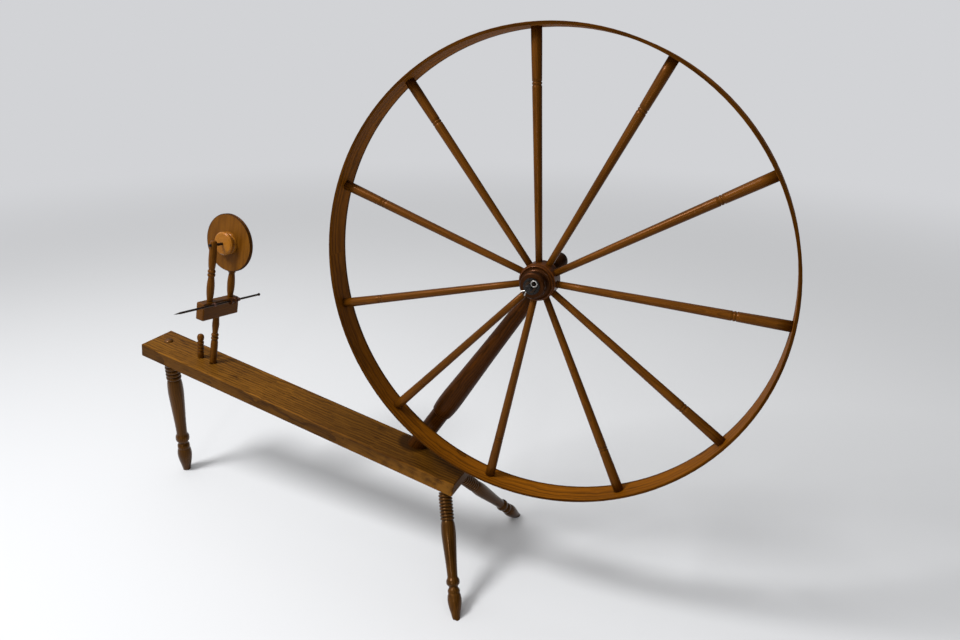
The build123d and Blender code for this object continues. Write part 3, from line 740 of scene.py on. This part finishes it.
def seat_below_tip(node: Piece, height: float) -> tuple[Vector, Vector]:
    """Finds the seat of an upright turning from its tip and its foot.

    Args:
        node: The turning's solid.
        height: From its seat to its tip, in mm.

    Returns:
        Its seat, and its axis as a unit vector towards the tip.
    """
    points = [v.co.copy() for v in node.data.vertices]
    guess = rising(own_axes(node)[1][0])
    places = [p.dot(guess) for p in points]
    reach = 0.6 * MM
    ends = [[p for p, d in zip(points, places) if abs(d - end) < reach] for end in (min(places), max(places))]
    foot, tip = [sum(end, Vector()) / len(end) for end in ends]
    axis = (tip - foot).normalized()
    return tip - axis * height * MM, axis


def spine(node: Piece) -> tuple[Vector, Vector]:
    """Finds the line that a leg is turned about, from two bands of whole rings along it.

    Args:
        node: The leg's solid.

    Returns:
        A point on the line, and its direction downwards as a unit vector.
    """
    guess = -rising(own_axes(node)[1][0])
    points = {tuple(round(c, 6) for c in v.co) for v in node.data.vertices}
    placed = sorted((Vector(p).dot(guess), p) for p in points)
    low, high = placed[0][0], placed[-1][0]
    middles = []
    for start, stop in ((0.28, 0.45), (0.6, 0.85)):
        band = [Vector(p) for d, p in placed if start < (d - low) / (high - low) < stop]
        middles.append(sum(band, Vector()) / len(band))
    return middles[0], (middles[1] - middles[0]).normalized()


def meet(point: Vector, direction: Vector, on_plane: Vector, normal: Vector) -> Vector:
    """Finds where a line meets a plane.

    Args:
        point: A point on the line.
        direction: Its direction.
        on_plane: A point on the plane.
        normal: The plane's normal.

    Returns:
        The meeting point.
    """
    return point + direction * ((on_plane - point).dot(normal) / direction.dot(normal))


def leg_profile(length: float, big: float, tenon: float, reach: float) -> list[tuple[float, float]]:
    """Draws a leg: tenon, cut rings, vase, ankle collar, cove and foot.

    Args:
        length: From the bed's underside to the floor, in mm.
        big: Diameter of the vase's belly.
        tenon: Diameter of the tenon.
        reach: How far the tenon goes up into the bed.

    Returns:
        Heights below the bed's underside and radii, in mm.
    """
    shares = [*LEG_BEADS, (0.213, 0.425), (0.232, 0.465), (0.275, 0.497), (0.33, 0.5),
              (0.45, 0.442), (0.57, 0.378), (0.655, 0.352), (0.674, 0.356), (0.686, 0.4), (0.697, 0.445),
              (0.713, 0.455), (0.728, 0.44), (0.737, 0.385), (0.745, 0.325), (0.753, 0.305), (0.761, 0.34),
              (0.772, 0.395), (0.786, 0.412), (0.796, 0.402), (0.802, 0.398), (0.815, 0.435), (0.845, 0.474),
              (0.872, 0.47), (0.915, 0.415), (0.96, 0.325), (1.0, 0.262), (1.04, 0.235)]
    inside = 0.03 * length
    return [(-reach, tenon / 2), (-inside - 1, tenon / 2), (-inside, 0.43 * big),
            *((share * length, radius * big) for share, radius in shares)]


LEG_BEADS = beads(-0.012, 0.206, 8, 0.4, 0.48)
UPRIGHT_PROFILE = [(-14, 6.4), (-0.4, 6.4), (0, 8.2), (6, 8.7), (22, 10.6), (42, 11.4), (58, 10.9), (72, 9.4),
                   (76, 8.9), *beads(78, 100, 2, 8.7, 11.3), (103, 9.1), (114, 10.4), (133, 11.3),
                   (155, 11.1), (170, 10.6), (179, 10.2), (184.5, 9.7), (187.3, 8.6), (189, 6.2),
                   (189.8, 2.8), (190, 0.1)]
HEAD_POST_PROFILE = [(-2.6, 10.0), (22, 10.4), (50, 10.9), (69, 10.6), (76, 9.4),
                     *beads(78, 100, 2, 8.2, 11.2), (104, 8.2), (112, 9.1), (129, 10.6), (145, 9.6),
                     (157, 8.7), (158.5, 7.5), (184, 7.5), (185.5, 0.1)]
# A spoke's profile starts at the axle: into the hub, two cut rings, and through the rim
SPOKE_PROFILE = [(31, 7.4), (43.5, 7.4), (44, 8.3), (120, 8.9), (220, 9.6), (320, 10.3), (400, 10.9),
                 (436, 11.2), (440.7, 11.2), (442.5, 9.6), (444.3, 11.2), (447.7, 11.2), (449.5, 9.6),
                 (451.3, 11.2), (458, 11.3), (490, 11.8), (530, 12.3), (562.9, 12.4), (563, 6.45),
                 (569.9, 6.45)]
PEG_PROFILE = [(-14, 6.4), (-0.4, 6.4), (0, 9.2), (8, 9.7), (18, 9.8), (22, 9.0),
                *beads(23, 59, 3, 7.9, 10.1),
               (61, 8.1), (63, 8.9), (66, 10.0), (71, 10.6), (76, 10.2), (80, 8.6), (82.6, 6.0), (83.7, 3.0),
               (84, 0.1)]


# ------------------------ sub-assemblies
@dataclass
class Stand:
    """The bed, its legs, the wheel post, and the axle with what holds the wheel on it."""

    legs: tuple[str, ...] = ("spindle_end_leg", "front_leg", "rear_leg", "leg_wedge")
    iron: tuple[str, ...] = ("wheel_axle", "axle_collar", "axle_washer")
    bellies: dict[str, float] = field(default_factory=lambda: {     # diameters of the legs' vases, in mm
        "spindle_end_leg": 49.5, "front_leg": 40.5, "rear_leg": 40.5})
    tenons: dict[str, float] = field(default_factory=lambda: {
        "spindle_end_leg": 25.8, "front_leg": 21.8, "rear_leg": 21.8})
    # Dark places: how far out one starts, how far out it is full, and how dark it is
    shade: tuple[float, float, float] = (0.5, 0.1, 0.45)            # of the bed, round the post: painted shadow of the wheel
    joint: tuple[float, float, float] = (62 * MM, 34 * MM, 0.9)     # of the joint at the post's foot: painted shade in the gap there
    grease_and_shade: tuple[float, float, float] = (115 * MM, 80 * MM, 0.85)  # of the post, round the axle: grease, with painted shade behind the hub
    peg_height: float = 84.0    # in mm
    tenon_sunk: float = 0.15 * MM       # how far a through tenon's end lies below the bed's top
    thread_pitch: float = 2.0 * MM
    thread_height: float = 0.55 * MM
    thread_steps: int = 28      # points in one turn of the thread
    thread_clear: float = 1.0 * MM

    def dress_wood(self) -> None:
        """Gives the bed, the legs, the post and the peg their timber."""
        middle, (long, across, up) = own_axes(nodes["bed"])
        up = rising(up)
        reach = [abs((v.co - middle).dot(across)) for v in nodes["bed"].data.vertices]
        post = own_axes(nodes["wheel_post"])
        post_foot = meet(post[0], post[1][0], middle, up)
        # painted shadow of the wheel on the bed round the post, and painted shade in the joint at the post's
        # foot
        stains_and_shadows = ((post_foot, up, *self.shade), (post_foot, up, *self.joint))
        dress(nodes["bed"], OAK_PLANK.along("bed", middle, long, Cut.BOARD, 1.0, (across, max(reach)),
                                            planed=up, stains_and_shadows=stains_and_shadows))
        for seed, name in enumerate(self.legs, start=2):
            middle, (long, *_) = own_axes(nodes[name])
            long = rising(long)
            top = max((v.co - middle).dot(long) for v in nodes[name].data.vertices)
            wood = OAK_LEG.along(name, middle, long, Cut.BLANK, seed,
                                 bare_past=top - 7 * MM if name in self.bellies else None)
            dress(nodes[name], wood)
            if name in self.bellies:
                self.turn_leg(name, wood)
        hub, axle = joint_line("wheel_spin")
        # the post darker round the axle: grease, with painted shade behind the hub
        dress(nodes["wheel_post"], OAK_POST.along("wheel_post", post[0], post[1][0], Cut.BLANK, 7.0,
                                                  stains_and_shadows=((hub, axle, *self.grease_and_shade),)))
        Turning("bed_peg", PEG_PROFILE, *seat_below_tip(nodes["bed_peg"], self.peg_height)).turn(
            "stand", "head_wood", MAPLE_HEAD.down("bed_peg", 8.0))

    def turn_leg(self, name: str, wood: Material) -> None:
        """Turns a leg between the bed and the floor, with its tenon up in the bed.

        Args:
            name: The leg.
            wood: Its timber.
        """
        middle, (_, _, up) = own_axes(nodes["bed"])
        up = rising(up)
        half = max((v.co - middle).dot(up) for v in nodes["bed"].data.vertices)
        point, down = spine(nodes[name])
        seat = meet(point, down, middle - up * half, up)
        foot = meet(point, down, Vector(), Vector((0, 0, 1)))
        top = max((v.co - seat).dot(-down) for v in nodes[name].data.vertices)
        profile = leg_profile((foot - seat).length / MM, self.bellies[name], self.tenons[name], top / MM)
        trims = [(middle + up * (half - self.tenon_sunk), up), (Vector(), Vector((0, 0, -1)))]
        if abs(down.y) > 0.2:       # a splayed foot is worn away where it would reach past the solid's
            side = copysign(1.0, down.y)
            reach = max(v.co.y * side for v in nodes[name].data.vertices)
            trims.append((Vector((0, side * reach, 0)), Vector((0, side, 0))))
        Turning(name, profile, seat, down, trims).turn("stand", "leg_wood", wood)

    def dress_metal(self, iron: Material, browned: Material,
                    steel: Material) -> None:
        """Gives the axle and its fixings their metals.

        Args:
            iron: Black iron.
            browned: Browned steel, for the nut.
            steel: Bright steel, for the split pin.
        """
        for name in self.iron:
            dress(nodes[name], iron)
        dress(nodes["axle_nut"], browned)
        dress(nodes["split_pin"], steel)

    def cut_thread(self, iron: Material) -> Piece:
        """Winds the thread's ridge round the axle's nose, in front of the nut.

        Args:
            iron: Black iron.

        Returns:
            The thread.
        """
        centre, axis = joint_line("wheel_spin")
        start = max((v.co - centre).dot(axis) for v in nodes["axle_nut"].data.vertices)
        axle = [v.co - centre for v in nodes["wheel_axle"].data.vertices]
        end = max(p.dot(axis) for p in axle)
        radius = max((p - axis * p.dot(axis)).length for p in axle)
        side = axis.orthogonal().normalized()
        other = axis.cross(side)
        first, last = start + self.thread_clear, end - 2 * self.thread_clear - self.thread_pitch
        count = int((last - first) / self.thread_pitch * self.thread_steps)
        points, faces = [], []
        for step in range(count + 1):
            angle = 2 * pi * step / self.thread_steps
            taper = min(1.0, step / self.thread_steps, (count - step) / self.thread_steps)
            outward = side * cos(angle) + other * sin(angle)
            along = first + step / self.thread_steps * self.thread_pitch
            for place, height in ((0.08, -0.3), (0.5, taper), (0.92, -0.3)):
                points.append(centre + axis * (along + place * self.thread_pitch)
                              + outward * (radius + height * self.thread_height))
            if step:
                low, high = 3 * (step - 1), 3 * step
                faces += [[low + i, high + i, high + i + 1, low + i + 1] for i in (0, 1)]
                faces.append([low + 2, high + 2, high, low])
        faces += [[0, 1, 2], [3 * count + 2, 3 * count + 1, 3 * count]]
        return mesh_piece("axle_thread", "stand", points, faces, iron)


@dataclass
class DriveWheel:
    """The bent rim, its spokes, and the turned hub with its bush."""

    spokes: list[str] = field(default_factory=lambda: sorted(n for n in nodes if n.startswith("spoke_")))
    grease_and_shade: tuple[float, float] = (43 * MM, 34 * MM)    # how far from the axle its grease and painted shade in the recess end and are full

    def dress_wheel(self, iron: Material) -> None:
        """Gives the wheel its timber, with the grain round the rim, out along each spoke and through the hub.

        Args:
            iron: Black iron, for the bush.
        """
        centre, axis = joint_line("wheel_spin")
        rim = [v.co - centre for v in nodes["rim"].data.vertices]
        places = [p.dot(axis) for p in rim]
        dress(nodes["rim"], ASH_HOOP.around("rim", centre, axis, max(p.length for p in rim), Cut.HOOP, 10.0,
                                            (min(places), max(places))))
        for seed, name in enumerate(self.spokes, start=20):
            middle, (long, *_) = own_axes(nodes[name])
            wood = ASH_SPOKE.down(name, seed * 1.7)
            out = long if (middle - centre).dot(long) > 0 else -long
            seat = middle - out * (middle - centre).dot(out)
            Turning(name, SPOKE_PROFILE, seat, out, sides=32, smoothing=1).turn(
                "drive_wheel", "spoke_wood", wood)
        # the hub darker round the axle: grease, with painted shade in the recess round the washer
        dress(nodes["hub"], MAPLE_HUB.along("hub", centre, axis, Cut.BLANK, 12.0,
                                            stains_and_shadows=((centre, axis, *self.grease_and_shade, 0.85),)))
        dress(nodes["hub_bush"], iron)


@dataclass
class SpindleHead:
    """The swivelling head, its leather bearings, the accelerating wheel and the spindle."""

    turned: tuple[str, ...] = ("head_post", "head_pin", "head_block", "front_upright", "rear_upright")
    profiles: dict[str, tuple[float, list[tuple[float, float]]]] = field(default_factory=lambda: {
        "front_upright": (190, UPRIGHT_PROFILE), "rear_upright": (190, UPRIGHT_PROFILE),
        "head_post": (185.5, HEAD_POST_PROFILE)})
    bearings: tuple[str, ...] = ("front_bearing", "rear_bearing")
    strap: float = 2.7 * MM     # the leather's thickness
    strap_steps: int = 20       # points round the loop
    strap_round: float = 0.7 * MM

    def dress_head(self, iron: Material, browned: Material) -> None:
        """Gives the head's pieces their timber and metal.

        Args:
            iron: Black iron.
            browned: Browned steel, for the spindle.
        """
        for seed, name in enumerate(self.turned, start=40):
            wood = MAPLE_HEAD.down(name, seed * 1.3)
            if name in self.profiles:
                height, profile = self.profiles[name]
                Turning(name, profile, *seat_below_tip(nodes[name], height)).turn(
                    "spindle_head", "head_wood", wood)
        dress(nodes["accelerator_axle"], iron)
        dress(nodes["spindle"], browned)
        centre, axis = joint_line("accelerator_spin")
        upright = own_axes(nodes["rear_upright"])[1][0]
        disc_radius = max((v.co - centre).cross(axis).length for v in nodes["accelerator_disc"].data.vertices)
        # the disc drawn darker in a band just inside its rim
        dress(nodes["accelerator_disc"],
              MAPLE_DISC.along("disc", centre, upright, Cut.FACE, 50.0,
                               stains_and_shadows=((centre, axis, disc_radius - 3.5 * MM, disc_radius - 1 * MM, 0.85),)))
        dress(nodes["accelerator_pulley"], BIRCH_PULLEY.along("pulley", centre, axis, Cut.BLANK, 52.0))
        shaft = joint_line("spindle_spin")[0]
        dress(nodes["spindle_whorl"], WAXED_WHORL.along("whorl", shaft, axis, Cut.BLANK, 54.0))

    def fold_bearing(self, name: str, leather: Material) -> Piece:
        """Folds a leather strap round the spindle, with both its ends let into the block.

        Args:
            name: The solid bearing that the strap stands for.
            leather: The strap's finish.

        Returns:
            The strap.
        """
        centre, axis = joint_line("spindle_spin")
        points = [v.co - centre for v in nodes[name].data.vertices]
        places = [p.dot(axis) for p in points]
        back, width = (min(places) + max(places)) / 2, max(places) - min(places)
        block = own_axes(nodes["head_block"])[0] - centre
        inward = (block - axis * block.dot(axis)) - Vector((0, 0, 1)) * block.z
        inward = (inward - axis * inward.dot(axis)).normalized()
        up = rising(inward.cross(axis))
        reach = max(p.dot(inward) for p in points)
        tail = [p.dot(up) for p in points if p.dot(inward) > 0.9 * reach]
        low, high = min(tail), max(tail)
        bore = min((p - axis * p.dot(axis)).length for p in points)
        loop = bore + self.strap / 2
        line = [(reach, high - self.strap / 2), ((loop + reach) / 2, high - self.strap / 2)]
        first, last = radians(-14), radians(256)
        for step in range(self.strap_steps + 1):
            angle = first + (last - first) * step / self.strap_steps
            line.append((loop * cos(angle), loop * sin(angle)))
        line += [((loop + reach) / 2, low + self.strap / 2), (reach, low + self.strap / 2)]
        half = width / 2
        inset = self.strap_round
        ring = [(-half, inset), (-half + inset, 0), (half - inset, 0), (half, inset),
                (half, self.strap - inset), (half - inset, self.strap), (-half + inset, self.strap),
                (-half, self.strap - inset)]
        corners = []
        for i, (x, y) in enumerate(line):
            before, after = line[max(i - 1, 0)], line[min(i + 1, len(line) - 1)]
            heading = Vector((after[0] - before[0], after[1] - before[1])).normalized()
            normal = Vector((-heading.y, heading.x))
            for along, depth in ring:
                x_at = x + normal.x * (depth - self.strap / 2)
                y_at = y + normal.y * (depth - self.strap / 2)
                corners.append(centre + axis * (back + along) + inward * x_at + up * y_at)
        end = len(ring) * (len(line) - 1)
        faces = [*loft(len(line), len(ring)), list(range(len(ring))),
                 [end + k for k in reversed(range(len(ring)))]]
        strap = mesh_piece(f"{name}_strap", "spindle_head", corners, faces, leather)
        smooth = strap.modifiers.new("rounded", "SUBSURF")
        smooth.levels = smooth.render_levels = 1
        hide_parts(name)
        return strap


# ------------------------ floor, light and camera
@dataclass
class Studio:
    """A pale floor, soft light from above and the spinner's left, and the camera."""

    floor_size: float = 400.0
    floor_colour: str = "#cfd0d2"
    background: str = "#d2d3d6"
    fade: tuple[float, float] = (2.6, 7.0)      # how far out the floor runs into the background
    sky_middle: tuple[float, float, float] = (-0.5, -0.4, 1.0)     # where the sky is brightest
    sky_low: float = 0.06      # its strength away from there
    sky_high: float = 0.95
    lamps: tuple[tuple[str, tuple[float, float, float], float, float], ...] = (    # place, size and power
        ("key", (-1.7, -1.7, 4.0), 1.2, 175.0), ("front", (0.3, -3.3, 1.2), 0.3, 13.0))
    camera_from_wheel: tuple[float, float] = (0.4762, -1.5205)    # from the wheel's centre, in X and Y
    camera_height: float = 1.4693
    camera_heading: float = 22.50     # degrees, from +Y towards -X
    camera_pitch: float = 22.51       # degrees below level
    camera_roll: float = 0.16
    lens_mm: float = 26.375

    def lay_floor(self) -> None:
        """Lays a plain matt floor that keeps the object's shadow and runs out into the background."""
        half = self.floor_size / 2
        mesh = bpy.data.meshes.new("floor")
        mesh.from_pydata([(-half, -half, 0), (half, -half, 0), (half, half, 0), (-half, half, 0)], [],
                         [(0, 1, 2, 3)])
        material, tree = new_material("matt_floor")
        near = add_node(tree, "BsdfPrincipled", {"Base Color": linear(self.floor_colour),
                                                 "Roughness": 0.9, "Specular IOR Level": 0.1})
        far = add_node(tree, "Emission", {"Color": linear(self.background), "Strength": 1.0})
        place = add_node(tree, "NewGeometry").outputs["Position"]
        faded = remap(reckon("VectorMath", "LENGTH", place), *self.fade, smooth=True)
        seen = add_node(tree, "LightPath").outputs["Is Camera Ray"]
        share = reckon("Math", "MULTIPLY", faded, seen)
        mixed = add_node(tree, "MixShader", {0: share, 1: near.outputs[0], 2: far.outputs[0]})
        add_node(tree, "OutputMaterial", {"Surface": mixed.outputs[0]})
        mesh.materials.append(material)
        put("floor", mesh)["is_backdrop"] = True

    def light(self) -> None:
        """Sets a soft sky, brightest over the spindle end and plain behind the object, and two soft lamps."""
        scene = bpy.context.scene
        world = bpy.data.worlds.new("studio")
        scene.world = world
        world.use_nodes = True
        tree = world.node_tree
        tree.nodes.clear()
        seen = add_node(tree, "LightPath").outputs["Is Camera Ray"]
        towards = add_node(tree, "TexCoord").outputs["Generated"]
        bright = Vector(self.sky_middle).normalized()
        facing = reckon("VectorMath", "DOT_PRODUCT", towards, bright)
        level = remap(facing, -0.1, 0.9, self.sky_low, self.sky_high, smooth=True)
        sky = add_node(tree, "Background", {"Color": (1.0, 1.0, 1.0, 1.0), "Strength": level})
        behind = add_node(tree, "Background", {"Color": linear(self.background), "Strength": 1.0})
        mixed = add_node(tree, "MixShader", {0: seen, 1: sky.outputs[0], 2: behind.outputs[0]})
        add_node(tree, "OutputWorld", {"Surface": mixed.outputs[0]})
        low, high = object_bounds()
        for name, place, size, power in self.lamps:
            lamp = bpy.data.lights.new(name, "AREA")
            lamp.shape = "DISK"
            lamp.size = size
            lamp.energy = power
            light = put(name, lamp)
            light.location = place
            light.rotation_mode = "QUATERNION"
            light.rotation_quaternion = (Vector(place) - (low + high) / 2).to_track_quat("Z", "Y")

    def place_camera(self) -> None:
        """Stands the camera at a person's eye, in front of the wheel and a little to its right."""
        wheel = joint_line("wheel_spin")[0]
        lens = bpy.data.cameras.new("camera")
        lens.lens = self.lens_mm
        lens.sensor_width = 36.0
        camera = put("camera", lens)
        place = Matrix.Translation((wheel.x + self.camera_from_wheel[0], wheel.y + self.camera_from_wheel[1],
                                    self.camera_height))
        camera.matrix_world = (place @ Matrix.Rotation(radians(self.camera_heading), 4, "Z")
                               @ Matrix.Rotation(radians(90 - self.camera_pitch), 4, "X")
                               @ Matrix.Rotation(radians(self.camera_roll), 4, "Z"))
        bpy.context.scene.camera = camera


def main() -> None:
    """Builds the looks in order."""
    logging.basicConfig(level=logging.INFO, format="%(name)s: %(message)s")
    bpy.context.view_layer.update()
    iron = BLACK_IRON.material()
    browned = BROWNED_STEEL.material()
    leather = Leather().material()

    stand = Stand()
    stand.dress_wood()
    stand.dress_metal(iron, browned, BRIGHT_STEEL.material())
    log.info("stand dressed, with %s", stand.cut_thread(iron).name)

    DriveWheel().dress_wheel(iron)
    log.info("drive wheel dressed")

    head = SpindleHead()
    head.dress_head(iron, browned)
    for name in head.bearings:
        log.info("folded %s", head.fold_bearing(name, leather).name)

    studio = Studio()
    studio.lay_floor()
    studio.light()
    studio.place_camera()
    bpy.context.scene.view_settings.view_transform = "Standard"


if __name__ == "__main__":
    main()
